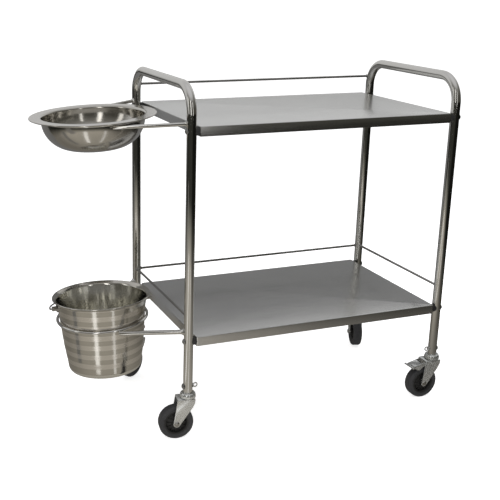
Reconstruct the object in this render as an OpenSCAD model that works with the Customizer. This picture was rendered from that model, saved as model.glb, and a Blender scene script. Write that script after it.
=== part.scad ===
// Two-shelf stainless dressing trolley with a basin and a bucket hung in rings
// at its left end, on four swivel casters. Millimetres, +Z up, +X to the right,
// +Y to the rear. The floor is z = 0.

/* [Frame] */
// Distance between the leg axes along the length
leg_span = 675; // [600:5:800]
// Distance between the leg axes across the depth
leg_depth = 380; // [340:5:450]
// Outside diameter of the frame tube
tube_d = 22; // [20:0.5:23]
// Height of the handle axis above the floor
handle_z = 818; // [800:1:900]
// Bend radius of the handle corners, to the tube axis
bend_r = 59; // [50:1:75]
// Height of the lower ends of the legs above the floor
leg_z = 111; // [110:1:116]

/* [Shelves] */
// Height of the top shelf surface
top_z = 736; // [700:1:760]
// Height of the bottom shelf surface
low_z = 252; // [250:1:300]
// Depth of the turned-down shelf edge
edge_h = 23; // [20:1:30]
// Shelf overhang beyond the leg axes at front and rear
shelf_over = 10; // [6:1:12]
// Height of the guard rails above a shelf
rail_h = 45; // [40:1:55]

/* [Basin] */
// Outside diameter of the basin flange
basin_d = 290; // [280:2:300]
// Depth of the basin below its flange
basin_h = 76; // [70:1:90]
// Distance of the basin axis from the leg axis
basin_x = 165; // [162:1:175]
// Downward sag of the basin holder
basin_tilt = 3; // [0:0.5:3]

/* [Bucket] */
// Outside diameter of the bucket rim
bucket_d = 236; // [232:1:238]
// Distance of the bucket axis from the leg axis
bucket_x = 149; // [147:1:155]
// Downward sag of the bucket's ring
bucket_ring_tilt = 3.5; // [2:0.5:3.5]
// Sideways tilt of the bucket
bucket_tilt = 2; // [1:0.5:2.5]
// Lean of the bucket towards the rear
bucket_lean = 3; // [0:0.5:3]
// Direction of the bucket ears about the bucket axis
ear_turn = -4; // [-10:1:10]

/* [Casters] */
// Wheel diameter
wheel_d = 82; // [76:1:84]
// Wheel tread width
wheel_w = 24; // [20:1:25]
// Distance of the axle behind the swivel axis
trail = 28; // [24:1:32]
// Heading of the front left caster
turn_fl = 170; // [0:1:359]
// Heading of the front right caster
turn_fr = 180; // [0:1:359]
// Heading of the rear left caster
turn_rl = 214; // [0:1:359]
// Heading of the rear right caster
turn_rr = 252; // [0:1:359]

/* [Hidden] */
$fn = 64;

tube_r = tube_d / 2;
tube_wall = 1.2;
over_x = tube_r + 4.5;
total_x = basin_x + basin_d / 2 + leg_span + over_x;
xl = -total_x / 2 + basin_x + basin_d / 2;
xr = xl + leg_span;
yf = -leg_depth / 2;
yr = leg_depth / 2;
corners = [[xl, yf, 1], [xr, yf, -1], [xl, yr, 1], [xr, yr, -1]];

spacer_w = 5.5;
sheet = 1.2;
shelf_x0 = xl + tube_r + spacer_w;
shelf_x1 = xr - tube_r - spacer_w;
shelf_y = leg_depth / 2 + shelf_over;
bolt_drop = edge_h / 2;
bolt_r = 3;
rail_r = 3;

ring_r = 3.5;
basin_arm_r = 4.3;
bucket_arm_r = 5.5;
arm_turn = 86;
basin_wall_r = 118;
basin_flange_z = 13;
basin_ring_z = basin_flange_z - sheet - ring_r - 0.05;
basin_ring_axis = basin_wall_r + 2 + ring_r;
bucket_rim_z = 59.5;
bucket_floor_z = -126;
bucket_ring_z = 10;
bucket_ring_axis = 107.8;
bail_z = 38;
bail_r = 124;
wire_r = 2;
bail_rest = 7.5;

axle_z = wheel_d / 2;
axle_r = 4;
crown_z = leg_z - 12.5;
crown_t = 2.5;
cheek_in = 15.3;
cheek_t = 2.5;
pin_r = 5;
hub_r = wheel_d / 2 - 12;
brake_x = 10;
brake_z = crown_z - 5.5;
cross_z = leg_z + 18;

// ---- shared shapes ----

function arc(cx, cy, r, a0, a1, n) =
    [for (i = [0:n]) let (a = a0 + (a1 - a0) * i / n) [cx + r * cos(a), cy + r * sin(a)]];

// Cylinder along +X from x = x0 to x = x1.
module rod_x(x0, x1, r) {
    translate([x0, 0, 0]) rotate([0, 90, 0]) cylinder(h = x1 - x0, r = r);
}

// Cylinder along +Y from y = y0 to y = y1.
module rod_y(y0, y1, r) {
    translate([0, y0, 0]) rotate([-90, 0, 0]) cylinder(h = y1 - y0, r = r);
}

// Round bar between two points.
module rod_between(a, b, r) {
    d = b - a;
    translate(a) rotate([0, acos(d[2] / norm(d)), atan2(d[1], d[0])])
        cylinder(h = norm(d), r = r);
}

module torus(axis_r, r) {
    rotate_extrude($fn = 96) translate([axis_r, 0]) circle(r = r, $fn = 32);
}

// Domed button head, flat face at z = 0.
module dome(r, h) {
    big = (r * r + h * h) / (2 * h);
    half = asin(r / big);
    rotate_extrude() polygon(concat([[0, 0]], arc(0, h - big, big, 90 - half, 90, 8)));
}

module rounded(w, d, r) {
    square([w - 2 * r, d], center = true);
    square([w, d - 2 * r], center = true);
    for (sx = [-1, 1], sy = [-1, 1])
        translate([sx * (w / 2 - r), sy * (d / 2 - r)]) circle(r = r);
}

// ---- end frames ----

module u_path(r, drop) {
    for (s = [-1, 1]) {
        translate([0, s * leg_depth / 2, leg_z - drop])
            cylinder(h = handle_z - bend_r - leg_z + drop, r = r);
        translate([0, s * (leg_depth / 2 - bend_r), handle_z - bend_r])
            rotate([90, 0, s * 90])
                rotate_extrude(angle = 90) translate([bend_r, 0]) circle(r = r);
    }
    translate([0, 0, handle_z])
        rod_y(-leg_depth / 2 + bend_r, leg_depth / 2 - bend_r, r);
}

module end_frame(x) {
    color("silver") translate([x, 0, 0]) difference() {
        u_path(tube_r, 0);
        u_path(tube_r - tube_wall, 1);
        for (y = [yf, yr]) {
            for (z = [top_z, low_z])
                translate([0, y, z - bolt_drop]) rod_x(-20, 20, bolt_r + 0.1);
            translate([0, y, cross_z]) rod_x(-20, 20, bolt_r + 0.1);
        }
    }
}

module legs_solid() {
    for (c = corners)
        translate([c[0], c[1], leg_z]) cylinder(h = top_z + rail_h + 40 - leg_z, r = tube_r);
}

module left_end_frame() { end_frame(xl); }
module right_end_frame() { end_frame(xr); }

// ---- shelves ----

module shelf(z) {
    w = shelf_x1 - shelf_x0;
    color("gainsboro") difference() {
        translate([(shelf_x0 + shelf_x1) / 2, 0, z - edge_h])
            linear_extrude(edge_h) rounded(w, 2 * shelf_y, 3);
        translate([(shelf_x0 + shelf_x1) / 2, 0, z - edge_h - 1])
            linear_extrude(edge_h + 1 - sheet) rounded(w - 2 * sheet, 2 * (shelf_y - sheet), 1.8);
        for (y = [yf, yr]) translate([0, y, z - bolt_drop]) {
            rod_x(shelf_x0 - 2, shelf_x0 + 4, bolt_r + 0.1);
            rod_x(shelf_x1 - 4, shelf_x1 + 2, bolt_r + 0.1);
        }
    }
}

// Hat-shaped channel welded under the shelf along its middle.
module stiffener(z) {
    color("darkgray") translate([(xl + xr) / 2, 0, z - sheet]) difference() {
        translate([-290, -25, -14]) cube([580, 50, 14]);
        translate([-300, -23.8, -12.8]) cube([600, 47.6, 14]);
    }
}

module top_shelf() { shelf(top_z); }
module bottom_shelf() { shelf(low_z); }
module top_shelf_stiffener() { stiffener(top_z); }
module bottom_shelf_stiffener() { stiffener(low_z); }

module shelf_spacers() {
    color("black") for (c = corners, z = [top_z, low_z])
        translate([c[0], c[1], z - bolt_drop]) mirror([c[2] < 0 ? 1 : 0, 0, 0]) difference() {
            rod_x(6, tube_r + spacer_w, 10);
            translate([0, 0, -15]) cylinder(h = 30, r = tube_r);
            rod_x(0, 20, bolt_r + 0.1);
        }
}

module shelf_bolts() {
    color("dimgray") for (c = corners, z = [top_z, low_z])
        translate([c[0], c[1], z - bolt_drop]) mirror([c[2] < 0 ? 1 : 0, 0, 0]) {
            translate([-tube_r, 0, 0]) rotate([0, -90, 0]) dome(7, 4.4);
            rod_x(-tube_r, tube_r + spacer_w + sheet + 7, bolt_r);
        }
}

module shelf_nuts() {
    color("darkgray") for (c = corners, z = [top_z, low_z])
        translate([c[0], c[1], z - bolt_drop]) mirror([c[2] < 0 ? 1 : 0, 0, 0])
            translate([tube_r + spacer_w + sheet, 0, 0]) rotate([0, 90, 0]) difference() {
                union() {
                    cylinder(h = 1, r = 6.2);
                    translate([0, 0, 1]) cylinder(h = 4.6, r = 5.6, $fn = 6);
                }
                translate([0, 0, -1]) cylinder(h = 8, r = bolt_r + 0.05);
            }
}

// ---- guard rails ----

module cut_at_legs() {
    difference() {
        children();
        legs_solid();
    }
}

module rear_rail(z) {
    color("silver") cut_at_legs() translate([0, yr, z + rail_h]) rod_x(xl, xr, rail_r);
}

module side_rail(x) {
    color("silver") cut_at_legs() translate([x, 0, low_z + rail_h]) rod_y(yf, yr, rail_r);
}

module top_rear_rail() { rear_rail(top_z); }
module bottom_rear_rail() { rear_rail(low_z); }
module bottom_left_rail() { side_rail(xl); }
module bottom_right_rail() { side_rail(xr); }

// ---- basin and bucket holders ----

// Sagging frame of a holder: local x = 0 is the left leg axis, local z = 0 is ref_z.
module sag(tilt, ref_z) {
    translate([xl, 0, ref_z]) rotate([0, -tilt, 0]) children();
}

// Straight arm from a left leg to the side of a ring, ending off at turn degrees
// from the ring's +X side; z0 and z1 are its heights at the leg and at the ring.
module holder_arm(s, gap, tip_r, z0, z1, r) {
    rod_between([0, s * leg_depth / 2, z0],
        [-gap + tip_r * cos(arm_turn), s * tip_r * sin(arm_turn), z1], r);
}

module basin_arm(s) {
    color("silver") difference() {
        sag(basin_tilt, top_z) difference() {
            holder_arm(s, basin_x, basin_ring_axis + 0.8, 4.2, 1.2, basin_arm_r);
            translate([-basin_x, 0, basin_ring_z]) torus(basin_ring_axis, ring_r);
        }
        legs_solid();
    }
}

module bucket_arm(s) {
    color("silver") difference() {
        sag(bucket_ring_tilt, low_z) difference() {
            holder_arm(s, bucket_x, bucket_ring_axis + 2.5, 11.6, 4.2, bucket_arm_r);
            translate([-bucket_x, 0, bucket_ring_z]) torus(bucket_ring_axis, ring_r);
        }
        legs_solid();
    }
}

module basin_ring() {
    color("silver") sag(basin_tilt, top_z)
        translate([-basin_x, 0, basin_ring_z]) torus(basin_ring_axis, ring_r);
}

module bucket_ring() {
    color("silver") sag(bucket_ring_tilt, low_z)
        translate([-bucket_x, 0, bucket_ring_z]) torus(bucket_ring_axis, ring_r);
}

module basin_arm_front() { basin_arm(-1); }
module basin_arm_rear() { basin_arm(1); }
module bucket_arm_front() { bucket_arm(-1); }
module bucket_arm_rear() { bucket_arm(1); }

// ---- basin ----

// Half section, z = 0 at the top of the flange.
module basin_section() {
    bowl = 68;
    bead = 1.5;
    cx = basin_wall_r - bowl;
    fr = basin_d / 2 - bead;
    polygon(concat(
        [[0, -basin_h], [cx, -basin_h]],
        arc(cx, bowl - basin_h, bowl, -82, 0, 10),
        arc(basin_wall_r + 4, -sheet - 4, 4, 180, 90, 4),
        [[fr, -sheet], [fr, 0]],
        arc(basin_wall_r + 4, -sheet - 4, 4 + sheet, 90, 180, 5),
        arc(cx, bowl - basin_h, bowl - sheet, 0, -82, 10),
        [[cx, sheet - basin_h], [0, sheet - basin_h]]));
    translate([fr, -1.3]) circle(r = bead, $fn = 24);
}

module basin() {
    color("whitesmoke") sag(basin_tilt, top_z) translate([-basin_x, 0, basin_flange_z])
        rotate_extrude($fn = 96) basin_section();
}

// ---- bucket ----

bucket_wall = [[89, -111], [96.4, -60], [103, 6], [103.65, 14], [108.5, 52]];

module bucket_section() {
    cr = 15;
    curl = 1.8;
    lip = bucket_d / 2 - curl;
    outer = concat([[0, bucket_floor_z]],
        arc(bucket_wall[0][0] - cr, bucket_floor_z + cr, cr, -90, 0, 6),
        [for (i = [1:4]) bucket_wall[i]],
        [[111, bucket_rim_z - 4.2], [lip, bucket_rim_z - 2.4]]);
    inner = concat([[lip, bucket_rim_z - 1.2], [110.6, bucket_rim_z - 3]],
        [for (i = [4:-1:1]) bucket_wall[i] + [-sheet, 0.4]],
        arc(bucket_wall[0][0] - cr, bucket_floor_z + cr, cr - sheet, 0, -90, 6),
        [[0, bucket_floor_z + sheet]]);
    polygon(concat(outer, inner));
    translate([lip, bucket_rim_z - curl]) circle(r = curl, $fn = 24);
}

module in_bucket() {
    sag(bucket_tilt, low_z) translate([-bucket_x, 0, 0]) rotate([-bucket_lean, 0, 0])
        children();
}

module bucket() {
    color("whitesmoke") in_bucket() rotate_extrude($fn = 96) bucket_section();
}

module bucket_ears() {
    color("gray") in_bucket() rotate([0, 0, ear_turn]) for (a = [0, 180])
        rotate([0, 0, a]) difference() {
            translate([0, 0, bail_z]) {
                rod_x(95, 120, 6);
                rod_x(95, 109.3, 9.5);
            }
            rotate_extrude($fn = 96)
                polygon([[0, 0], [102.4, 0], bucket_wall[2], bucket_wall[3], bucket_wall[4],
                    [108.5, 60], [0, 60]]);
            translate([0, 0, bail_z]) rod_x(109, 125, wire_r + 0.05);
        }
}

module bucket_bail() {
    color("gray") in_bucket() translate([0, 0, bail_z])
        rotate([0, 0, ear_turn]) rotate([-bail_rest, 0, 0]) {
            rotate_extrude(angle = 180, $fn = 96)
                translate([bail_r, 0]) circle(r = wire_r, $fn = 24);
            rod_x(109.5, bail_r + 1.9, wire_r);
            rod_x(-bail_r - 1.9, -109.5, wire_r);
        }
}

// ---- casters ----

module stem(c) {
    color("darkgray") translate([c[0], c[1], 0]) difference() {
        union() {
            translate([0, 0, leg_z]) cylinder(h = 45, r = tube_r - tube_wall - 0.1);
            translate([0, 0, crown_z - 1]) cylinder(h = leg_z - crown_z + 1, r = pin_r);
            translate([0, 0, crown_z - 2.4]) cylinder(h = 2.2, r = 8);
        }
        translate([0, 0, cross_z]) rod_x(-20, 20, bolt_r + 0.1);
    }
}

// Dished upper race that the leg stands in.
module cap(c) {
    b = crown_z + crown_t + 1;
    color("darkgray") translate([c[0], c[1], 0]) rotate_extrude() polygon([
        [16.4, b], [18.7, b], [18.9, b + 3], [18.2, b + 6.5], [16.8, leg_z + 1.6],
        [15.2, leg_z + 2.6], [tube_r + 0.2, leg_z + 2.6], [tube_r + 0.2, leg_z],
        [pin_r + 0.1, leg_z], [pin_r + 0.1, b + 3.6], [16.4, b + 3.6]]);
}

module cheek_shape() {
    difference() {
        union() {
            polygon([[-15.5, crown_z + crown_t], [26.5, crown_z + crown_t],
                [trail + 7.4, axle_z + 3], [trail + 7.4, axle_z - 3],
                [trail - 5.3, axle_z - 6], [-9, crown_z - 18], [-14.5, crown_z - 7]]);
            translate([trail, axle_z]) circle(r = 8);
        }
        translate([trail, axle_z]) circle(r = axle_r + 0.05);
    }
}

module fork(c, turn, braked) {
    color("silver") translate([c[0], c[1], 0]) rotate([0, 0, turn]) difference() {
        union() {
            translate([0, 0, crown_z]) linear_extrude(crown_t) {
                translate([0, -cheek_in - cheek_t]) square([26.5, 2 * (cheek_in + cheek_t)]);
                circle(r = cheek_in + cheek_t);
            }
            translate([0, 0, crown_z + crown_t]) cylinder(h = 4.2, r = 15.8);
            for (y = [-cheek_in, cheek_in + cheek_t]) translate([0, y, 0])
                rotate([90, 0, 0]) linear_extrude(cheek_t) cheek_shape();
        }
        translate([0, 0, crown_z - 1]) cylinder(h = 12, r = pin_r + 0.06);
        if (braked) translate([brake_x, 0, brake_z]) rod_y(-30, 30, 2.55);
    }
}

module axle(c, turn) {
    color("lightgray") translate([c[0], c[1], axle_z]) rotate([0, 0, turn])
        translate([trail, 0, 0]) {
            rod_y(-22.6, cheek_in + cheek_t, axle_r);
            translate([0, cheek_in + cheek_t, 0]) rotate([-90, 0, 0]) dome(6.5, 3.6);
        }
}

module axle_nut(c, turn) {
    color("lightgray") translate([c[0], c[1], axle_z]) rotate([0, 0, turn])
        translate([trail, -cheek_in - cheek_t, 0]) rotate([90, 0, 0]) difference() {
            cylinder(h = 4.2, r = 6.6, $fn = 6);
            translate([0, 0, -1]) cylinder(h = 7, r = axle_r + 0.05);
        }
}

module at_wheel(c, turn) {
    translate([c[0], c[1], axle_z]) rotate([0, 0, turn]) translate([trail, 0, 0])
        rotate([90, 0, 0]) children();
}

module hub(c, turn) {
    color("black") at_wheel(c, turn) rotate_extrude() polygon([
        [axle_r + 0.05, -15.1], [8.5, -15.1], [9.5, -9], [hub_r - 5, -8],
        [hub_r - 3.5, -11], [hub_r, -11], [hub_r, 11], [hub_r - 3.5, 11],
        [hub_r - 5, 8], [9.5, 9], [8.5, 15.1], [axle_r + 0.05, 15.1]]);
}

module tyre(c, turn) {
    w = wheel_w / 2;
    r = wheel_d / 2;
    color("dimgray") at_wheel(c, turn) rotate_extrude() polygon([
        [hub_r, -w + 1], [hub_r + 1.5, -w], [r - 4.5, -w], [r - 1.5, -w + 1.4], [r, -w + 5],
        [r, w - 5], [r - 1.5, w - 1.4], [r - 4.5, w], [hub_r + 1.5, w], [hub_r, w - 1]]);
}

module stem_fl() { stem(corners[0]); }
module cap_fl() { cap(corners[0]); }
module fork_fl() { fork(corners[0], turn_fl, false); }
module axle_fl() { axle(corners[0], turn_fl); }
module axle_nut_fl() { axle_nut(corners[0], turn_fl); }
module hub_fl() { hub(corners[0], turn_fl); }
module tyre_fl() { tyre(corners[0], turn_fl); }

module stem_fr() { stem(corners[1]); }
module cap_fr() { cap(corners[1]); }
module fork_fr() { fork(corners[1], turn_fr, true); }
module axle_fr() { axle(corners[1], turn_fr); }
module axle_nut_fr() { axle_nut(corners[1], turn_fr); }
module hub_fr() { hub(corners[1], turn_fr); }
module tyre_fr() { tyre(corners[1], turn_fr); }

module stem_rl() { stem(corners[2]); }
module cap_rl() { cap(corners[2]); }
module fork_rl() { fork(corners[2], turn_rl, true); }
module axle_rl() { axle(corners[2], turn_rl); }
module axle_nut_rl() { axle_nut(corners[2], turn_rl); }
module hub_rl() { hub(corners[2], turn_rl); }
module tyre_rl() { tyre(corners[2], turn_rl); }

module stem_rr() { stem(corners[3]); }
module cap_rr() { cap(corners[3]); }
module fork_rr() { fork(corners[3], turn_rr, false); }
module axle_rr() { axle(corners[3], turn_rr); }
module axle_nut_rr() { axle_nut(corners[3], turn_rr); }
module hub_rr() { hub(corners[3], turn_rr); }
module tyre_rr() { tyre(corners[3], turn_rr); }

// ---- caster clamping bolts ----

module caster_bolts() {
    color("dimgray") for (c = corners)
        translate([c[0], c[1], cross_z]) mirror([c[2] < 0 ? 1 : 0, 0, 0]) {
            translate([-tube_r, 0, 0]) rotate([0, -90, 0]) dome(7, 4.4);
            rod_x(-tube_r, tube_r + 2, bolt_r);
        }
}

// Eye nuts: a collar against the tube with a ring standing up from it.
module caster_eye_nuts() {
    color("silver") for (c = corners)
        translate([c[0], c[1], cross_z]) mirror([c[2] < 0 ? 1 : 0, 0, 0])
            translate([tube_r, 0, 0]) difference() {
                union() {
                    rod_x(0, 2.6, 5.2);
                    translate([7, 0, 0]) rotate([90, 0, 0]) torus(4.8, 1.6);
                }
                rod_x(-1, 2.1, bolt_r + 0.05);
            }
}

// ---- brakes ----

// Foot lever: two cheeks on the pin, a shoe plate over the tyre and a foot bar.
module brake_lever(c, turn) {
    color("gray") translate([c[0], c[1], 0]) rotate([0, 0, turn])
        translate([brake_x, 0, brake_z]) difference() {
            union() {
                for (y = [-13.1, 14.9]) translate([0, y, 0]) rotate([90, 0, 0])
                    linear_extrude(1.8) polygon([[-4, -3.5], [-4.5, 2], [-1, 4.6], [22, 4.6],
                        [50, -3], [50, -6], [40, -14], [33, -14], [22, -4.6], [2, -4.6]]);
                translate([27, -13.2, 1.1]) rotate([0, 15, 0]) cube([24, 26.4, 1.8]);
                translate([46, -13, -3.6]) rotate([0, 12, 0]) cube([10, 26, 2]);
                translate([55.5, 0, -5.6]) rod_y(-20, 20, 2);
                translate([50, 0, -4.2]) rotate([0, 15, 0]) cube([3, 22, 6], center = true);
            }
            rod_y(-30, 30, 2.55);
        }
}

module brake_pin(c, turn) {
    color("lightgray") translate([c[0], c[1], 0]) rotate([0, 0, turn])
        translate([brake_x, 0, brake_z]) {
            rod_y(-cheek_in - cheek_t - 1.5, cheek_in + cheek_t + 1.5, 2.5);
            for (s = [-1, 1]) translate([0, s * (cheek_in + cheek_t + 0.9), 0])
                rod_y(-0.8, 0.8, 3.6);
        }
}

module brake_lever_fr() { brake_lever(corners[1], turn_fr); }
module brake_pin_fr() { brake_pin(corners[1], turn_fr); }
module brake_lever_rl() { brake_lever(corners[2], turn_rl); }
module brake_pin_rl() { brake_pin(corners[2], turn_rl); }

left_end_frame();
right_end_frame();
top_shelf();
bottom_shelf();
top_shelf_stiffener();
bottom_shelf_stiffener();
shelf_spacers();
shelf_bolts();
shelf_nuts();
top_rear_rail();
bottom_rear_rail();
bottom_left_rail();
bottom_right_rail();
basin_ring();
basin_arm_front();
basin_arm_rear();
bucket_ring();
bucket_arm_front();
bucket_arm_rear();
basin();
bucket();
bucket_ears();
bucket_bail();
stem_fl();
cap_fl();
fork_fl();
axle_fl();
axle_nut_fl();
hub_fl();
tyre_fl();
stem_fr();
cap_fr();
fork_fr();
axle_fr();
axle_nut_fr();
hub_fr();
tyre_fr();
stem_rl();
cap_rl();
fork_rl();
axle_rl();
axle_nut_rl();
hub_rl();
tyre_rl();
stem_rr();
cap_rr();
fork_rr();
axle_rr();
axle_nut_rr();
hub_rr();
tyre_rr();
caster_bolts();
caster_eye_nuts();
brake_lever_fr();
brake_pin_fr();
brake_lever_rl();
brake_pin_rl();
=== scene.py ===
"""Two-shelf stainless dressing trolley: detailed pieces, materials, light and camera."""
import math

import bmesh
import bpy
from mathutils import Matrix, Vector

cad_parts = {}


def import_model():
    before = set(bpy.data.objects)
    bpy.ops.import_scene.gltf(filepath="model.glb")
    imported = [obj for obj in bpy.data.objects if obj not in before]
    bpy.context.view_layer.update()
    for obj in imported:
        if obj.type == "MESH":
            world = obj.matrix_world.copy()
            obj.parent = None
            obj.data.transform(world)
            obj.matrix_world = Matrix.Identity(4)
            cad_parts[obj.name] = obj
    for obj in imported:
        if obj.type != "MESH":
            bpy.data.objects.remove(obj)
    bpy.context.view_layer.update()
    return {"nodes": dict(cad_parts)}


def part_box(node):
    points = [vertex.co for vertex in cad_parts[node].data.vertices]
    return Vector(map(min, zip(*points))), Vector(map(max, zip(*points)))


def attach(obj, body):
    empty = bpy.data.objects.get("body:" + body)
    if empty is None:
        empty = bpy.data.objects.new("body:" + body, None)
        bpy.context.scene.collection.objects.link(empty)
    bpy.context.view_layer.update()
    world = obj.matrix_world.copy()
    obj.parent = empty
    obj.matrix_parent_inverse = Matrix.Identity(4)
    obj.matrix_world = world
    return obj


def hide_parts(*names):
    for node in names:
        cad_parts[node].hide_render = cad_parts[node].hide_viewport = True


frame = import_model()
NODES = frame["nodes"]
PI = math.pi

# ---------------------------------------------------------------- places, from the frame


def centre(node):
    lo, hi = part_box(node)
    return (lo + hi) / 2


XL = centre("left_end_frame").x
XR = centre("right_end_frame").x
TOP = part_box("top_shelf")[1].z
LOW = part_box("bottom_shelf")[1].z
LEG_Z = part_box("left_end_frame")[0].z
YR = 0.190  # the leg axes lie at y = -YR and y = YR
TUBE_R = 0.011
TUBE_WALL = 0.0012
HANDLE_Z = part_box("left_end_frame")[1].z - TUBE_R
BEND = 0.059
RAIL_H = 0.045  # above the shelf
RAIL_R = 0.003
CORNERS = {"fl": (XL, -YR), "fr": (XR, -YR), "rl": (XL, YR), "rr": (XR, YR)}
TURN = {"fl": 170, "fr": 180, "rl": 214, "rr": 252}  # heading of each caster's trail, in degrees
TRAIL = 0.028
WHEEL_R = 0.041


def turned(degrees, axis):
    return Matrix.Rotation(math.radians(degrees), 4, axis)


def tilted(height, tilt):
    """Sagging frame of a holder: x = 0 is the left leg axis."""
    return Matrix.Translation((XL, 0, height)) @ turned(-tilt, "Y")


BASIN_X = 0.165
BUCKET_X = 0.149
BASIN = tilted(TOP, 3)
BUCKET_RING = tilted(LOW, 3.5)
BUCKET = tilted(LOW, 2) @ Matrix.Translation((-BUCKET_X, 0, 0)) @ turned(-3, "X")

# ---------------------------------------------------------------- camera

CAM_AT = Vector((-0.9092, -2.0050, 1.0604))
CAM_YAW, CAM_PITCH, CAM_ROLL = -20.860, 16.552, 0.660
CAM_LENS = 66.22
CAM_SENSOR = 36
CAM_SHIFT_X = 0.143
CAM_SHIFT_Y = -0.0188


def make_camera():
    yaw, pitch, roll = (math.radians(a) for a in (CAM_YAW, CAM_PITCH, CAM_ROLL))
    look = Vector((-math.sin(yaw) * math.cos(pitch), math.cos(yaw) * math.cos(pitch), -math.sin(pitch)))
    right = look.cross(Vector((0, 0, 1))).normalized()
    up = right.cross(look)
    r = right * math.cos(roll) + up * math.sin(roll)
    u = up * math.cos(roll) - right * math.sin(roll)
    data = bpy.data.cameras.new("camera")
    data.lens = CAM_LENS
    data.sensor_width = CAM_SENSOR
    data.shift_x = CAM_SHIFT_X
    data.shift_y = CAM_SHIFT_Y
    cam = bpy.data.objects.new("camera", data)
    rot = Matrix((r, u, -look)).transposed().to_4x4()
    cam.matrix_world = Matrix.Translation(CAM_AT) @ rot
    bpy.context.scene.collection.objects.link(cam)
    bpy.context.scene.camera = cam


make_camera()

# ---------------------------------------------------------------- materials

NOISE_ROUGHNESS = 0.6
NOISE_LOW, NOISE_HIGH = 0.3, 0.7  # the noise value hardly leaves this range
FINE_BUMP_DISTANCE = 0.0002
DULL_BUMP_DISTANCE = 0.0004
DULL_BLOTCH = 14.0


def new_material(name, kind="ShaderNodeBsdfPrincipled"):
    """Material with one shader node; gives the material, its tree and that node."""
    mat = bpy.data.materials.new(name)
    mat.use_nodes = True
    tree = mat.node_tree
    tree.nodes.clear()
    out = tree.nodes.new("ShaderNodeOutputMaterial")
    shader = tree.nodes.new(kind)
    tree.links.new(shader.outputs[0], out.inputs["Surface"])
    return mat, tree, shader


def noise(tree, scale, detail, stretch=(1, 1, 1)):
    coord = tree.nodes.new("ShaderNodeTexCoord")
    mapping = tree.nodes.new("ShaderNodeMapping")
    mapping.inputs["Scale"].default_value = stretch
    tex = tree.nodes.new("ShaderNodeTexNoise")
    tex.inputs["Scale"].default_value = scale
    tex.inputs["Detail"].default_value = detail
    tex.inputs["Roughness"].default_value = NOISE_ROUGHNESS
    tree.links.new(coord.outputs["Object"], mapping.inputs["Vector"])
    tree.links.new(mapping.outputs["Vector"], tex.inputs["Vector"])
    return tex.outputs["Fac"]


def map_range(tree, value, from_min, from_max, to_min=0.0, to_max=1.0, curve="LINEAR"):
    node = tree.nodes.new("ShaderNodeMapRange")
    node.interpolation_type = curve
    node.inputs["From Min"].default_value = from_min
    node.inputs["From Max"].default_value = from_max
    node.inputs["To Min"].default_value = to_min
    node.inputs["To Max"].default_value = to_max
    tree.links.new(value, node.inputs["Value"])
    return node.outputs["Result"]


def colour_ramp(tree, value, stops):
    """Colour that runs through the (position, colour) stops as the value goes from 0 to 1."""
    node = tree.nodes.new("ShaderNodeValToRGB")
    elements = node.color_ramp.elements
    for element, (position, colour) in zip(elements, (stops[0], stops[-1])):
        element.position = position
        element.color = (*colour, 1)
    for position, colour in stops[1:-1]:
        element = elements.new(position)
        element.color = (*colour, 1)
    tree.links.new(value, node.inputs["Fac"])
    return node.outputs["Color"]


def bump(tree, shader, fac, strength, distance):
    b = tree.nodes.new("ShaderNodeBump")
    b.inputs["Strength"].default_value = strength
    b.inputs["Distance"].default_value = distance
    tree.links.new(fac, b.inputs["Height"])
    tree.links.new(b.outputs["Normal"], shader.inputs["Normal"])


def coloured(tree, shader, patches, fine, dark, light, rough):
    """Colour that follows the large patches and roughness that follows the fine noise."""
    colour = colour_ramp(tree, patches, ((NOISE_LOW, dark), (NOISE_HIGH, light)))
    tree.links.new(colour, shader.inputs["Base Color"])
    tree.links.new(map_range(tree, fine, NOISE_LOW, NOISE_HIGH, *rough), shader.inputs["Roughness"])


def metal(name, dark, light, rough, grain_scale, grain=(1, 1, 1), grain_bump=0.05, blotch=6.0, metallic=1.0):
    """Steel with uneven colour in large patches and a fine grain, which can be stretched."""
    mat, tree, shader = new_material(name)
    shader.inputs["Metallic"].default_value = metallic
    patches = noise(tree, blotch, detail=3.0)
    fine = noise(tree, grain_scale, detail=2.0, stretch=grain)
    coloured(tree, shader, patches, fine, dark, light, rough)
    if grain_bump:
        bump(tree, shader, fine, grain_bump, FINE_BUMP_DISTANCE)
    return mat


def dull(name, dark, light, rough, scale=120.0, strength=0.15):
    """Rubber or plastic with faint patches and a fine, slightly raised grain."""
    mat, tree, shader = new_material(name)
    patches = noise(tree, DULL_BLOTCH, detail=4.0)
    fine = noise(tree, scale, detail=3.0)
    coloured(tree, shader, patches, fine, dark, light, rough)
    bump(tree, shader, fine, strength, DULL_BUMP_DISTANCE)
    return mat


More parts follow.
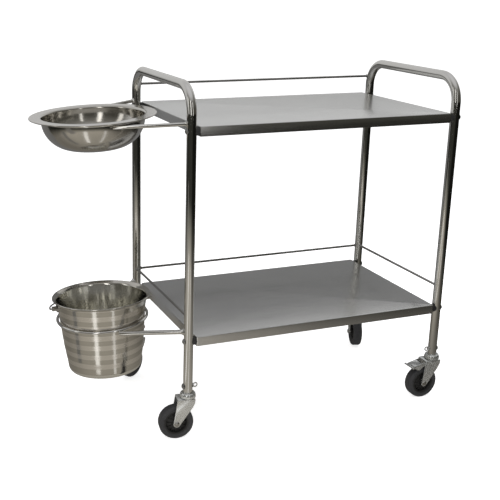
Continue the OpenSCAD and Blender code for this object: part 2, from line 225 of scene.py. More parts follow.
# Each entry gives the darkest and lightest colour, then the smoothest and roughest value.
MAT = {
    "tube": metal("polished_tube", (0.66, 0.65, 0.62), (0.72, 0.71, 0.69), (0.05, 0.09),
                  grain=(1, 1, 0.15), grain_scale=240, grain_bump=0.02),
    "shelf": metal("satin_shelf", (0.70, 0.70, 0.69), (0.75, 0.75, 0.74), (0.22, 0.27),
                   grain=(0.08, 1, 1), grain_scale=110, grain_bump=0.0),
    "basin": metal("basin_steel", (0.54, 0.52, 0.48), (0.61, 0.59, 0.55), (0.12, 0.18),
                   grain_scale=120, grain_bump=0.02),
    "bucket_polished": metal("bucket_polished", (0.52, 0.50, 0.46), (0.60, 0.58, 0.53), (0.10, 0.15),
                             grain_scale=150, grain_bump=0.02),
    "bucket_satin": metal("bucket_satin", (0.70, 0.67, 0.62), (0.78, 0.75, 0.70), (0.18, 0.24),
                          grain=(1, 1, 6), grain_scale=300, grain_bump=0.03),
    "bucket_inside": metal("bucket_inside", (0.74, 0.73, 0.68), (0.82, 0.81, 0.77), (0.09, 0.14),
                           grain_scale=150, grain_bump=0.02),
    "rail": metal("rail_steel", (0.34, 0.335, 0.32), (0.42, 0.41, 0.40), (0.12, 0.20),
                  grain_scale=240, grain_bump=0.02),
    "wire": metal("bail_wire", (0.42, 0.41, 0.39), (0.52, 0.51, 0.49), (0.18, 0.28), grain_scale=200),
    "zinc": metal("zinc_plate", (0.66, 0.67, 0.66), (0.76, 0.77, 0.76), (0.18, 0.24),
                  grain=(1, 1, 0.5), grain_scale=60, grain_bump=0.0, blotch=22.0, metallic=0.9),
    "fastener": metal("fastener_steel", (0.24, 0.24, 0.24), (0.36, 0.36, 0.35), (0.25, 0.38),
                      grain_scale=200, blotch=40.0),
    "spacer": dull("spacer_rubber", (0.010, 0.010, 0.010), (0.022, 0.022, 0.021), (0.55, 0.75)),
    "tyre": dull("tyre_rubber", (0.022, 0.022, 0.024), (0.034, 0.034, 0.036), (0.48, 0.62),
                 scale=90, strength=0.2),
    "hub": dull("hub_plastic", (0.008, 0.008, 0.008), (0.016, 0.016, 0.015), (0.30, 0.48),
                scale=160, strength=0.1),
}

# ---------------------------------------------------------------- mesh builders

SAME_POINT = 1e-7
ON_AXIS = 1e-9
EDGE_ANGLE = 35  # degrees; sharper edges are shown as edges


def shade(mesh, sharp_angle):
    """Smooth shading, broken at edges sharper than the angle in degrees."""
    mesh.polygons.foreach_set("use_smooth", [True] * len(mesh.polygons))
    mesh.set_sharp_from_angle(angle=math.radians(sharp_angle))


def add(name, verts, faces, mats, body, replaces, face_mats=None, smooth_angle=40, matrix=None):
    mesh = bpy.data.meshes.new(name)
    mesh.from_pydata([tuple(v) for v in verts], [], faces)
    if matrix is not None:
        mesh.transform(matrix)
    bm = bmesh.new()
    bm.from_mesh(mesh)
    bmesh.ops.remove_doubles(bm, verts=bm.verts, dist=SAME_POINT)
    bmesh.ops.recalc_face_normals(bm, faces=bm.faces)
    bm.to_mesh(mesh)
    bm.free()
    for m in mats:
        mesh.materials.append(m)
    if face_mats is not None:
        mesh.polygons.foreach_set("material_index", face_mats)
    obj = bpy.data.objects.new(name, mesh)
    bpy.context.scene.collection.objects.link(obj)
    shade(mesh, smooth_angle)
    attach(obj, body)
    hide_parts(*replaces)


def arc(cx, cy, r, a0, a1, n):
    """Points on a circle from angle a0 to a1, in degrees."""
    angles = [math.radians(a0 + (a1 - a0) * i / n) for i in range(n + 1)]
    return [(cx + r * math.cos(a), cy + r * math.sin(a)) for a in angles]


def mirrored(outline):
    """The (r, z) outline turned upside down, in the order that carries it on."""
    return [(r, -z) for r, z in reversed(outline)]


def between(a, b, n):
    """Faces between two rings of n vertices that start at a and b."""
    return [(a + k, a + (k + 1) % n, b + (k + 1) % n, b + k) for k in range(n)]


def lathe(profile, seg, closed=True):
    """Vertices and faces of an (r, z) outline turned about Z; points on the axis become poles."""
    verts, rows = [], []
    for r, z in profile:
        if r < ON_AXIS:
            rows.append([len(verts)] * seg)
            verts.append((0, 0, z))
        else:
            rows.append(list(range(len(verts), len(verts) + seg)))
            turns = [2 * PI * k / seg for k in range(seg)]
            verts += [(r * math.cos(t), r * math.sin(t), z) for t in turns]
    faces = []
    n = len(profile)
    for i in range(n if closed else n - 1):
        a, b = rows[i], rows[(i + 1) % n]
        for k in range(seg):
            q = [a[k], a[(k + 1) % seg], b[(k + 1) % seg], b[k]]
            q = [v for j, v in enumerate(q) if v not in q[:j]]
            if len(q) > 2:
                faces.append(q)
    return verts, faces


def sweep(path, radius, sides, ends=True):
    """Round bar along a list of points; radius is a number or one value a point."""
    path = [Vector(p) for p in path]
    radii = radius if isinstance(radius, (list, tuple)) else [radius] * len(path)
    verts, faces = [], []
    tang = []
    for i in range(len(path)):
        a, b = path[max(i - 1, 0)], path[min(i + 1, len(path) - 1)]
        tang.append((b - a).normalized())
    # The reference is an axis that the bar doesn't start along.
    ref = Vector((1, 0, 0)) if abs(tang[0].x) < 0.8 else Vector((0, 1, 0))
    u = (ref - tang[0] * ref.dot(tang[0])).normalized()
    for i, p in enumerate(path):
        u = (u - tang[i] * u.dot(tang[i])).normalized()
        w = tang[i].cross(u)
        for k in range(sides):
            t = 2 * PI * k / sides
            verts.append(p + (u * math.cos(t) + w * math.sin(t)) * radii[i])
    for i in range(len(path) - 1):
        faces += between(i * sides, (i + 1) * sides, sides)
    if ends:
        faces.append(tuple(range(sides - 1, -1, -1)))
        base = (len(path) - 1) * sides
        faces.append(tuple(range(base, base + sides)))
    return verts, faces


def joined(*parts):
    verts, faces = [], []
    for v, f in parts:
        off = len(verts)
        verts += list(v)
        faces += [tuple(i + off for i in face) for face in f]
    return verts, faces


def moved(part, matrix):
    return [matrix @ Vector(v) for v in part[0]], part[1]


# ---------------------------------------------------------------- end frames

TUBE_SIDES = 48
BEND_STEPS = 20
LEG_STEPS = 12
GRIP_STEPS = 8


def u_path(x):
    """Centre line of an end frame: up the front leg, along the handle, down the rear leg."""
    leg_top = HANDLE_Z - BEND
    grip_y = YR - BEND
    pts = [(x, -YR, LEG_Z + (leg_top - LEG_Z) * i / LEG_STEPS) for i in range(LEG_STEPS + 1)]
    pts += [(x, y, z) for y, z in arc(-grip_y, leg_top, BEND, 180, 90, BEND_STEPS)[1:]]
    pts += [(x, -grip_y + 2 * grip_y * i / GRIP_STEPS, HANDLE_Z) for i in range(1, GRIP_STEPS + 1)]
    pts += [(x, y, z) for y, z in arc(grip_y, leg_top, BEND, 90, 0, BEND_STEPS)[1:]]
    pts += [(x, YR, leg_top - (leg_top - LEG_Z) * i / LEG_STEPS) for i in range(1, LEG_STEPS + 1)]
    return pts


def end_frame(name, x):
    path = u_path(x)
    outer = sweep(path, TUBE_R, TUBE_SIDES, ends=False)
    inner = sweep(path, TUBE_R - TUBE_WALL, TUBE_SIDES, ends=False)
    verts, faces = joined(outer, (inner[0], [tuple(reversed(f)) for f in inner[1]]))
    n = len(outer[0])
    for base in (0, n - TUBE_SIDES):
        faces += between(base, n + base, TUBE_SIDES)
    add(name + "_tube", verts, faces, [MAT["tube"]], "frame", [name])


end_frame("left_end_frame", XL)
end_frame("right_end_frame", XR)

# ---------------------------------------------------------------- shelves

EDGE_ROLL = 0.0022
SHELF_CORNER = 0.0030
CORNER_MIN = 0.0004
CORNER_STEPS = 6


def rounded_loop(x0, x1, y0, y1, r, z):
    corners = ((x1 - r, y1 - r, 0), (x0 + r, y1 - r, 90), (x0 + r, y0 + r, 180), (x1 - r, y0 + r, 270))
    pts = []
    for cx, cy, a in corners:
        pts += [(x, y, z) for x, y in arc(cx, cy, r, a, a + 90, CORNER_STEPS)]
    return pts


def shelf(name):
    """Pressed tray: flat top, rolled edge, skirt and a folded hem at its foot."""
    lo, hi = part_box(name)
    roll = EDGE_ROLL
    prof = []  # (inset, height) from the top edge
    for a in range(0, 91, 15):
        t = math.radians(a)
        prof.append((roll - roll * math.sin(t), -(roll - roll * math.cos(t))))
    prof += [(0, -0.0225), (0.0003, -0.0229), (0.0009, -0.0230)]
    prof += [(0.0020, -0.0230), (0.0025, -0.0226), (0.0025, -0.0190), (0.0012, -0.0186)]
    prof += [(0.0012, -0.0040), (0.0030, -0.0012)]
    verts, faces = [], []
    for d, z in prof:
        corner = max(SHELF_CORNER - d, CORNER_MIN)
        verts += rounded_loop(lo.x + d, hi.x - d, lo.y + d, hi.y - d, corner, hi.z + z)
    n = len(verts) // len(prof)
    base = (len(prof) - 1) * n
    for i in range(len(prof) - 1):
        faces += between(i * n, (i + 1) * n, n)
    faces.append(tuple(range(n)))
    faces.append(tuple(range(base + n - 1, base - 1, -1)))
    add(name + "_tray", verts, faces, [MAT["shelf"]], "frame", [name],
        smooth_angle=EDGE_ANGLE)


shelf("top_shelf")
shelf("bottom_shelf")

# ---------------------------------------------------------------- guard rails

BEAD_SEGMENTS = 20
BEAD_INSET = 0.0008
RAIL_STEPS = 10
RAIL_SIDES = 20
RAIL_END = TUBE_R - 0.0003  # from a leg's axis to a rail's end, just under the tube's surface


def bead(r, at, along, squash=0.6):
    """Low weld bead: a ring of filler where a rod meets a tube."""
    prof = [(r * 0.98, -r * 0.5), (r * 1.35, -r * 0.3), (r * 1.5, 0), (r * 1.3, r * squash),
            (r * 0.98, r * 1.1)]
    rot = Vector((0, 0, 1)).rotation_difference(Vector(along)).to_matrix().to_4x4()
    return moved(lathe(prof, BEAD_SEGMENTS), Matrix.Translation(at) @ rot)


def rail(name, a, b):
    a, b = Vector(a), Vector(b)
    d = (b - a).normalized()
    pts = [a + (b - a) * i / RAIL_STEPS for i in range(RAIL_STEPS + 1)]
    rod = sweep(pts, RAIL_R, RAIL_SIDES)
    verts, faces = joined(rod, bead(RAIL_R, a + d * BEAD_INSET, d), bead(RAIL_R, b - d * BEAD_INSET, -d))
    add(name + "_rod", verts, faces, [MAT["rail"]], "frame", [name])


for level, z in (("top", TOP), ("bottom", LOW)):
    rail(level + "_rear_rail", (XL + RAIL_END, YR, z + RAIL_H), (XR - RAIL_END, YR, z + RAIL_H))
for end, x in (("left", XL), ("right", XR)):
    rail("bottom_" + end + "_rail", (x, -YR + RAIL_END, LOW + RAIL_H), (x, YR - RAIL_END, LOW + RAIL_H))

# ---------------------------------------------------------------- holders

RING_R = 0.0035
RING_SEGMENTS = 144
RING_SIDES = 20
SHEET = 0.0012  # the basin's and the bucket's wall
BASIN_FLANGE_Z = 0.013
RING_PLAY = 0.00005  # between the basin's flange and its ring
BASIN_RING_Z = BASIN_FLANGE_Z - SHEET - RING_R - RING_PLAY
BASIN_RING_AXIS = 0.1235
BUCKET_RING_Z = 0.010
BUCKET_RING_AXIS = 0.1078
ARM_TURN = math.radians(86)  # where an arm meets its ring, seen from the ring's centre
ARM_ROUND = 0.002
ARM_SIDES = 28
ARM_START = TUBE_R - 0.0004
ARM_BEAD_INSET = 0.0006


def ring(node, axis_r, matrix):
    verts, faces = lathe(arc(axis_r, 0, RING_R, 0, 360, RING_SIDES)[:-1], RING_SEGMENTS)
    add(node + "_rod", verts, faces, [MAT["tube"]], "frame", [node], matrix=matrix)


def arm(node, side, gap, tip_r, z_leg, z_ring, r, matrix):
    """Arm from the leg to the ring, its end rounded over, with a weld bead at the leg."""
    tip = Vector((-gap + tip_r * math.cos(ARM_TURN), side * tip_r * math.sin(ARM_TURN), z_ring))
    root = Vector((0, side * YR, z_leg))
    d = (tip - root).normalized()
    start = root + d * ARM_START
    straight = (tip - start).length - ARM_ROUND
    pts = [start + d * straight * k for k in (0, 0.2, 0.4, 0.6, 0.8, 1.0)]
    radii = [r] * len(pts)
    for a in (25, 50, 70, 85):
        t = math.radians(a)
        pts.append(start + d * (straight + ARM_ROUND * math.sin(t)))
        radii.append(r - ARM_ROUND * (1 - math.cos(t)))
    rod = sweep(pts, radii, ARM_SIDES)
    verts, faces = joined(rod, bead(r, start + d * ARM_BEAD_INSET, d, squash=0.35))
    add(node + "_rod", verts, faces, [MAT["tube"]], "frame", [node], matrix=matrix)


ring("basin_ring", BASIN_RING_AXIS, BASIN @ Matrix.Translation((-BASIN_X, 0, BASIN_RING_Z)))
ring("bucket_ring", BUCKET_RING_AXIS, BUCKET_RING @ Matrix.Translation((-BUCKET_X, 0, BUCKET_RING_Z)))
for side, end in ((-1, "front"), (1, "rear")):
    arm("basin_arm_" + end, side, gap=BASIN_X, tip_r=BASIN_RING_AXIS + 0.0008, z_leg=0.0042,
        z_ring=0.0012, r=0.0043, matrix=BASIN)
    arm("bucket_arm_" + end, side, gap=BUCKET_X, tip_r=BUCKET_RING_AXIS + 0.0025, z_leg=0.0116,
        z_ring=0.0042, r=0.0055, matrix=BUCKET_RING)

# ---------------------------------------------------------------- basin

BASIN_DEPTH = 0.076
BASIN_WALL_R = 0.118
BOWL_R = 0.068
BASIN_SHOULDER = 0.004
BOWL_END = -86  # degrees; the bowl's arc stops here and runs on into the flat floor
FLANGE_R = 0.1435
FLANGE_BEAD = 0.0015
BASIN_SEGMENTS = 160
BOWL_STEPS = 26
SHOULDER_STEPS = 8
FLANGE_STEPS = 14


def basin():
    """Bowl with a flat flange: the outline runs down the inside last."""
    h, t, r = BASIN_DEPTH, SHEET, BASIN_SHOULDER
    bowl_x, bowl_z = BASIN_WALL_R - BOWL_R, BOWL_R - BASIN_DEPTH
    flat_r = bowl_x - 0.004
    outline = [(0, -h), (flat_r, -h)]
    outline += arc(bowl_x, bowl_z, BOWL_R, BOWL_END, 0, BOWL_STEPS)
    outline += arc(BASIN_WALL_R + r, -t - r, r, 180, 90, SHOULDER_STEPS)
    outline += [(FLANGE_R - 0.001, -t - 0.0001)]
    outline += arc(FLANGE_R, -0.0013, FLANGE_BEAD, -150, 96, FLANGE_STEPS)
    outline += [(FLANGE_R - 0.003, 0)]
    outline += arc(BASIN_WALL_R + r, -t - r, r + t, 90, 180, SHOULDER_STEPS)
    outline += arc(bowl_x, bowl_z, BOWL_R - t, 0, BOWL_END, BOWL_STEPS)
    outline += [(flat_r, t - h), (0, t - h)]
    verts, faces = lathe(outline, BASIN_SEGMENTS, closed=False)
    add("basin_shell", verts, faces, [MAT["basin"]], "basin", ["basin"], smooth_angle=60,
        matrix=BASIN @ Matrix.Translation((-BASIN_X, 0, BASIN_FLANGE_Z)))


basin()

# ---------------------------------------------------------------- bucket

# Outside of the bucket's wall as (height above the lower shelf, radius).
BUCKET_WALL = ((-0.111, 0.089), (-0.060, 0.0964), (0.006, 0.103), (0.014, 0.10365), (0.052, 0.1085))
BAND = 0.0122
BAND_COUNT = 13
BAND_FOOT = -0.109
BAND_STEP = 0.00034  # depth of the grooves
BAND_EDGE = 0.0005  # half the width of each ridge and groove
BANDS_FROM, BANDS_TO = -0.1095, 0.0515
BUCKET_FLOOR = -0.126
BUCKET_RIM = 0.0595
BUCKET_RIM_R = 0.118
BUCKET_CURL = 0.0018
BUCKET_FLAT_R = 0.074
BUCKET_CORNER = 0.015
BUCKET_SEGMENTS = 144
INSIDE_TOP = 0.05
INSIDE_RUN = 0.161  # how far the inside wall runs down from its top
INSIDE_STEPS = 20
CORNER_ARC_STEPS = 12
CURL_STEPS = 16
WALL_SPLIT = 0.0007  # less than the wall, so it tells the inside from the outside


def wall_r(z):
    """Outside radius of the bucket wall at height z above the lower shelf."""
    for (z0, r0), (z1, r1) in zip(BUCKET_WALL, BUCKET_WALL[1:]):
        if z <= z1:
            return r0 + (r1 - r0) * (z - z0) / (z1 - z0)
    return BUCKET_WALL[-1][1]


def banded_wall():
    """Outside of the spun wall, rippled: a ridge and a groove in turn, one band apart."""
    wall = []
    for i in range(BAND_COUNT + 1):
        z = BAND_FOOT + i * BAND
        step = -BAND_STEP if i % 2 else 0.0
        for dz in (-BAND_EDGE, BAND_EDGE):
            if BANDS_FROM < z + dz < BANDS_TO:
                wall.append((wall_r(z + dz) + step, z + dz))
        if i < BAND_COUNT:
            wall.append((wall_r(z + BAND / 2) - BAND_STEP / 2, z + BAND / 2))
    return wall


def bucket_look(corners):
    """Number of a face's material: 0 polished, 1 satin band, 2 inside."""
    z = sum(v[2] for v in corners) / len(corners)
    r = sum(math.hypot(v[0], v[1]) for v in corners) / len(corners)
    split = wall_r(max(z, BAND_FOOT)) - WALL_SPLIT
    if r < split and z > BUCKET_FLOOR + 0.0008:
        return 2
    if r > split and BAND_FOOT < z < 0.050:
        return int((z - BAND_FOOT) / BAND) % 2
    return 0


def bucket():
    """Spun wall of polished and satin bands with a curled rim; the outline ends inside."""
    t, floor, rim, corner = SHEET, BUCKET_FLOOR, BUCKET_RIM, BUCKET_CORNER
    lip = BUCKET_RIM_R - BUCKET_CURL
    outer = [(0, floor)] + arc(BUCKET_FLAT_R, floor + corner, corner, -90, -4, CORNER_ARC_STEPS)
    outer += banded_wall()
    outer += [(0.1085, 0.052), (0.111, rim - 0.0042), (lip - 0.001, rim - 0.0026)]
    outer += arc(lip, rim - BUCKET_CURL, BUCKET_CURL, -110, 160, CURL_STEPS)
    inner = [(0.1106, rim - 0.003), (0.1073, 0.0524)]
    for i in range(INSIDE_STEPS + 1):
        z = INSIDE_TOP - INSIDE_RUN * i / INSIDE_STEPS
        inner.append((wall_r(z) - t, z))
    inner += arc(BUCKET_FLAT_R, floor + corner, corner - t, -4, -90, CORNER_ARC_STEPS)
    inner += [(0, floor + t)]
    verts, faces = lathe(outer + inner, BUCKET_SEGMENTS, closed=False)
    looks = [MAT["bucket_polished"], MAT["bucket_satin"], MAT["bucket_inside"]]
    face_mats = [bucket_look([verts[i] for i in face]) for face in faces]
    add("bucket_shell", verts, faces, looks, "bucket", ["bucket"],
        face_mats=face_mats, smooth_angle=60, matrix=BUCKET)


bucket()

# ---------------------------------------------------------------- casters

RIM_R = WHEEL_R - 0.012  # where the tyre meets the hub
HUB_BORE = 0.00405
HUB_SEGMENTS = 72
RIB_COUNT = 12
TYRE_HALF = 0.012
TREAD_ROUND = 0.0048
TYRE_SEGMENTS = 96
CAP_SEGMENTS = 64


def at_wheel(k):
    x, y = CORNERS[k]
    return (Matrix.Translation((x, y, WHEEL_R)) @ turned(TURN[k], "Z")
            @ Matrix.Translation((TRAIL, 0, 0)) @ Matrix.Rotation(PI / 2, 4, "X"))


def hub_mesh():
    """Moulded hub: rim, dished web with ribs, and a bored boss."""
    half = [(HUB_BORE, -0.0151), (0.0078, -0.0151), (0.0086, -0.0146), (0.0092, -0.0090),
            (RIM_R - 0.0056, -0.0050), (RIM_R - 0.0040, -0.0104), (RIM_R - 0.0032, -0.0110), (RIM_R, -0.0110)]
    rib_in, rib_out = 0.0084, RIM_R - 0.0042
    rib = [(rib_in, -0.0009, -0.0098), (rib_out, -0.0007, -0.0078), (rib_out, 0.0007, -0.0078),
           (rib_in, 0.0009, -0.0098)]
    rib += [(x, y, -z) for x, y, z in rib]
    rib_faces = [(0, 1, 2, 3), (7, 6, 5, 4), (0, 4, 5, 1), (1, 5, 6, 2), (2, 6, 7, 3), (3, 7, 4, 0)]
    parts = [lathe(half + mirrored(half), HUB_SEGMENTS)]
    for i in range(RIB_COUNT):
        parts.append(moved((rib, rib_faces), Matrix.Rotation(2 * PI * i / RIB_COUNT, 4, "Z")))
    return joined(*parts)


def tyre_mesh():
    """Moulded tread with rounded shoulders and a faint parting line."""
    w, shoulder = TYRE_HALF, TREAD_ROUND
    half = [(RIM_R, -w + 0.0010), (RIM_R + 0.0012, -w + 0.0002), (RIM_R + 0.0030, -w),
            (RIM_R + 0.0036, -w + 0.0003), (RIM_R + 0.0042, -w)]
    half += arc(WHEEL_R - shoulder, -w + shoulder, shoulder, -90, 0, 8)[1:]
    parting = [(WHEEL_R, -0.0004), (WHEEL_R - 0.00015, 0), (WHEEL_R, 0.0004)]
    return lathe(half + parting + mirrored(half), TYRE_SEGMENTS)


def cap_mesh():
    """Dished upper race: a rolled foot, a swelling side and a rounded shoulder at the tube."""
    mm = ((16.4, -9.0), (18.4, -9.0), (18.75, -8.6), (18.9, -7.0), (18.85, -5.0), (18.5, -2.8),
          (17.8, -0.4), (17.0, 1.3), (16.2, 2.2), (15.2, 2.6), (12.0, 2.6), (11.35, 2.3), (11.2, 1.6),
          (11.2, 0.0), (5.1, 0.0), (5.1, -5.4), (16.4, -5.4))
    return lathe([(r / 1000, LEG_Z + z / 1000) for r, z in mm], CAP_SEGMENTS)


for k in CORNERS:
    verts, faces = cap_mesh()
    add("cap_" + k + "_race", verts, faces, [MAT["zinc"]], "frame", ["cap_" + k],
        matrix=Matrix.Translation((*CORNERS[k], 0)))
    verts, faces = hub_mesh()
    add("hub_" + k + "_moulding", verts, faces, [MAT["hub"]], "wheel_" + k, ["hub_" + k],
        matrix=at_wheel(k))
    verts, faces = tyre_mesh()
    add("tyre_" + k + "_tread", verts, faces, [MAT["tyre"]], "wheel_" + k, ["tyre_" + k],
        matrix=at_wheel(k))

# ---------------------------------------------------------------- CAD shapes with rounded edges

CAD_SAME_POINT = 1e-6
FLAT_ANGLE = 1.5  # degrees; flatter edges are dissolved before the bevel
BEVEL_SEGMENTS = 2


def softened(node, look, body, width):
    """The CAD shape with its edges rounded over."""
    src = NODES[node]
    mesh = src.data.copy()
    mesh.transform(src.matrix_world)
    sharp = math.radians(EDGE_ANGLE)
    bm = bmesh.new()
    bm.from_mesh(mesh)
    bmesh.ops.remove_doubles(bm, verts=bm.verts, dist=CAD_SAME_POINT)
    bmesh.ops.dissolve_limit(bm, angle_limit=math.radians(FLAT_ANGLE), verts=bm.verts, edges=bm.edges)
    edges = [e for e in bm.edges if len(e.link_faces) == 2 and e.calc_face_angle(0) > sharp]
    bmesh.ops.bevel(bm, geom=edges, offset=width, segments=BEVEL_SEGMENTS, profile=0.5, affect="EDGES",
                    clamp_overlap=True)
    bm.to_mesh(mesh)
    bm.free()
    mesh.materials.clear()
    mesh.materials.append(MAT[look])
    obj = bpy.data.objects.new(node + "_pressing", mesh)
    bpy.context.scene.collection.objects.link(obj)
    mesh.polygons.foreach_set("material_index", [0] * len(mesh.polygons))
    shade(mesh, EDGE_ANGLE)
    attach(obj, body)
    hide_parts(node)


for k in CORNERS:
    softened("fork_" + k, "zinc", "caster_" + k, 0.0009)
    softened("axle_nut_" + k, "zinc", "caster_" + k, 0.0004)
for k in ("fr", "rl"):
    softened("brake_lever_" + k, "zinc", "brake_" + k, 0.0006)
softened("shelf_nuts", "fastener", "frame", 0.0004)
softened("shelf_spacers", "spacer", "frame", 0.0005)

# ---------------------------------------------------------------- carried-over CAD nodes

LOOKS = (("stem_", "zinc"), ("axle_", "wire"), ("brake_pin", "zinc"), ("shelf_bolts", "fastener"),
         ("caster_bolts", "fastener"), ("caster_eye_nuts", "zinc"), ("bucket_ears", "wire"),
         ("bucket_bail", "wire"), ("top_shelf_stiffener", "shelf"), ("bottom_shelf_stiffener", "shelf"))
for name, obj in NODES.items():
    for start, look in LOOKS:
        if name.startswith(start):
            for material_slot in obj.material_slots:
                material_slot.material = MAT[look]
            shade(obj.data, EDGE_ANGLE)

# ---------------------------------------------------------------- studio

# Sockets by index, because those of a Mix node and of a Mix Shader node share their names.
COLOUR_A, COLOUR_B, COLOUR_OUT = 6, 7, 2
SHADER_A, SHADER_B = 1, 2
# Stops from straight down, 0, to straight up, 1, each with its colour.
GROUND = (0.0, (0.03, 0.03, 0.03))
CEILING = ((0.92, (0.60, 0.60, 0.61)), (1.0, (0.70, 0.70, 0.72)))
FRONT = (GROUND, (0.50, (0.07, 0.067, 0.056)), (0.62, (0.08, 0.077, 0.066)), (0.80, (0.22, 0.215, 0.20)),
         *CEILING)
REAR = (GROUND, (0.49, (0.30, 0.30, 0.29)), (0.55, (0.62, 0.62, 0.62)), (0.75, (0.66, 0.66, 0.66)),
        *CEILING)


def world():
    """Surroundings as the steel sees them: dark in front, pale behind and overhead."""
    w = bpy.data.worlds.new("studio")
    bpy.context.scene.world = w
    w.use_nodes = True
    t = w.node_tree
    t.nodes.clear()
    out = t.nodes.new("ShaderNodeOutputWorld")
    coord = t.nodes.new("ShaderNodeTexCoord")
    sep = t.nodes.new("ShaderNodeSeparateXYZ")
    t.links.new(coord.outputs["Generated"], sep.inputs["Vector"])
    height = map_range(t, sep.outputs["Z"], -1, 1)
    both = t.nodes.new("ShaderNodeMix")
    both.data_type = "RGBA"
    t.links.new(map_range(t, sep.outputs["Y"], -0.05, 0.35), both.inputs["Factor"])
    t.links.new(colour_ramp(t, height, FRONT), both.inputs[COLOUR_A])
    t.links.new(colour_ramp(t, height, REAR), both.inputs[COLOUR_B])
    lit = t.nodes.new("ShaderNodeBackground")
    t.links.new(both.outputs[COLOUR_OUT], lit.inputs["Color"])
    seen = t.nodes.new("ShaderNodeBackground")
    seen.inputs["Color"].default_value = (1, 1, 1, 1)
    path = t.nodes.new("ShaderNodeLightPath")
    mix = t.nodes.new("ShaderNodeMixShader")
    t.links.new(path.outputs["Is Camera Ray"], mix.inputs["Fac"])
    t.links.new(lit.outputs["Background"], mix.inputs[SHADER_A])
    t.links.new(seen.outputs["Background"], mix.inputs[SHADER_B])
    t.links.new(mix.outputs["Shader"], out.inputs["Surface"])


def plane(name, corners, material):
    mesh = bpy.data.meshes.new(name)
    mesh.from_pydata(corners, [], [(0, 1, 2, 3)])
    mesh.materials.append(material)
    obj = bpy.data.objects.new(name, mesh)
    bpy.context.scene.collection.objects.link(obj)
    return obj


def square(half, z):
    return [(-half, -half, z), (half, -half, z), (half, half, z), (-half, half, z)]


def only_reflected(obj):
    obj.visible_camera = False
    obj.visible_diffuse = False
    obj.visible_transmission = False
    obj.visible_shadow = False


REFLECTED_HALF = 9
REFLECTED_Z = -0.0002
PAPER_HALF = 30
PAPER_Z = -0.0005
PAPER_WHITE = (0.9, 0.9, 0.9, 1)
PAPER_ROUGHNESS = 0.9
PAPER_GLOW = 0.75
FLOOR_CENTRE = (-0.40, -0.30, 0)
FLOOR_FADE = 3.0  # metres from the floor's centre to the last stop
FLOOR_STOPS = ((0.0, (0.36, 0.34, 0.30)), (0.18, (0.40, 0.375, 0.33)), (0.36, (0.46, 0.43, 0.38)),
               (0.52, (0.22, 0.21, 0.18)), (0.70, (0.03, 0.03, 0.025)))


def reflected_floor():
    """Glowing plane seen only in the polished steel: a painted reflection of pale ground near the trolley
    fading to a dark room.
    """
    mat, tree, em = new_material("floor_reflection", "ShaderNodeEmission")
    geo = tree.nodes.new("ShaderNodeNewGeometry")
    sep = tree.nodes.new("ShaderNodeSeparateXYZ")
    tree.links.new(geo.outputs["Position"], sep.inputs["Vector"])
    dist = tree.nodes.new("ShaderNodeVectorMath")
    dist.operation = "DISTANCE"
    dist.inputs[1].default_value = FLOOR_CENTRE
    tree.links.new(geo.outputs["Position"], dist.inputs[0])
    fade = map_range(tree, dist.outputs["Value"], 0.0, FLOOR_FADE)
    tree.links.new(colour_ramp(tree, fade, FLOOR_STOPS), em.inputs["Color"])
    both = tree.nodes.new("ShaderNodeMath")
    both.operation = "MULTIPLY"
    # Painted pool of light: the reflected ground glows brighter to the left and towards the front.
    side = map_range(tree, sep.outputs["X"], -0.45, 0.75, 1.15, 0.28, "SMOOTHSTEP")
    depth = map_range(tree, sep.outputs["Y"], -0.35, 0.35, 1.0, 0.45, "SMOOTHSTEP")
    tree.links.new(side, both.inputs[0])
    tree.links.new(depth, both.inputs[1])
    tree.links.new(both.outputs["Value"], em.inputs["Strength"])
    only_reflected(plane("reflected_floor", square(REFLECTED_HALF, REFLECTED_Z), mat))


def shine(name, corners, strength, colour):
    """Glowing plane seen only in reflections."""
    mat, _, em = new_material(name, "ShaderNodeEmission")
    em.inputs["Color"].default_value = (*colour, 1)
    em.inputs["Strength"].default_value = strength
    only_reflected(plane(name, corners, mat))


def strip(name, x, y, width, z0, z1, facing, strength, colour=(1, 1, 1)):
    """Standing light strip seen only in reflections; facing is a heading in degrees."""
    a = math.radians(facing + 90)
    dx, dy = width / 2 * math.cos(a), width / 2 * math.sin(a)
    left, right = (x - dx, y - dy), (x + dx, y + dy)
    shine(name, [(*left, z0), (*right, z0), (*right, z1), (*left, z1)], strength, colour)


WINDOW_AWAY = 2.6
WINDOW_FOOT = 0.5
WINDOW_WIDEN = 2.2
SHINE_Z = 0.0002
WARM = (1, 0.99, 0.97)


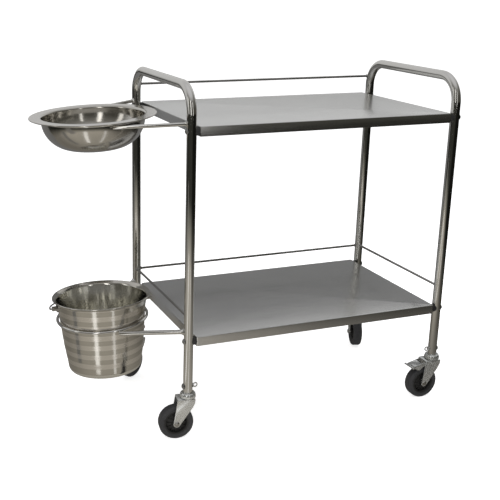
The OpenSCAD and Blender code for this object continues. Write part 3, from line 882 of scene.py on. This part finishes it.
def streak(name, heading, width, height, strength, colour=WARM, floor_share=0.62):
    """Tall narrow window and its shine along the floor, at a heading from the bucket."""
    a = math.radians(heading)
    cx, cy = XL - BUCKET_X, 0.0
    strip(name, cx + WINDOW_AWAY * math.cos(a), cy + WINDOW_AWAY * math.sin(a), width * WINDOW_WIDEN,
          WINDOW_FOOT, height, heading, strength, colour)
    corners = []
    # (distance from the bucket, share of the half width)
    for r, w in ((0.30, 0.30), (0.30, -0.30), (1.5, -1.0), (1.5, 1.0)):
        across = w * width / 2
        x = cx + r * math.cos(a) - across * math.sin(a)
        y = cy + r * math.sin(a) + across * math.cos(a)
        corners.append((x, y, SHINE_Z))
    shine(name + "_shine", corners, strength * floor_share, colour)


def softbox(name, at, target, size_x, size_y, power):
    data = bpy.data.lights.new(name, "AREA")
    data.shape = "RECTANGLE"
    data.size = size_x
    data.size_y = size_y
    data.energy = power
    obj = bpy.data.objects.new(name, data)
    facing = (Vector(target) - Vector(at)).to_track_quat("-Z", "Y").to_matrix().to_4x4()
    obj.matrix_world = Matrix.Translation(at) @ facing
    bpy.context.scene.collection.objects.link(obj)
    obj.visible_camera = False
    obj.visible_glossy = False


def paper():
    """White floor that the camera sees; its own glow keeps it white."""
    mat, _, shader = new_material("floor_paper")
    shader.inputs["Base Color"].default_value = PAPER_WHITE
    shader.inputs["Roughness"].default_value = PAPER_ROUGHNESS
    shader.inputs["Emission Color"].default_value = (1, 1, 1, 1)
    shader.inputs["Emission Strength"].default_value = PAPER_GLOW
    plane("floor", square(PAPER_HALF, PAPER_Z), mat).visible_glossy = False


world()
reflected_floor()
streak("window_left", heading=-123, width=0.20, height=3.0, strength=2.0)
streak("window_right", heading=-78, width=0.12, height=2.6, strength=1.5)
streak("window_end", heading=-176, width=0.22, height=2.4, strength=1.3, colour=(1, 0.99, 0.96),
       floor_share=0.15)
shine("left_floor_shine",
      [(-1.35, -0.42, 0.0001), (-1.35, -0.72, 0.0001), (-2.8, -1.05, 0.0001), (-2.8, -0.50, 0.0001)],
      strength=0.26, colour=(1, 0.97, 0.92))
strip("rear_wall_low", x=0.15, y=0.62, width=2.6, z0=0.0, z1=0.70, facing=90, strength=0.20)
softbox("top_softbox", (0.2, -0.6, 3.0), (0, 0, 0.5), size_x=2.2, size_y=1.8, power=40)
softbox("front_softbox", (-1.6, -2.6, 1.6), (0, 0, 0.4), size_x=1.0, size_y=1.6, power=25)
paper()

bpy.context.scene.view_settings.view_transform = "Standard"
bpy.context.scene.view_settings.look = "None"
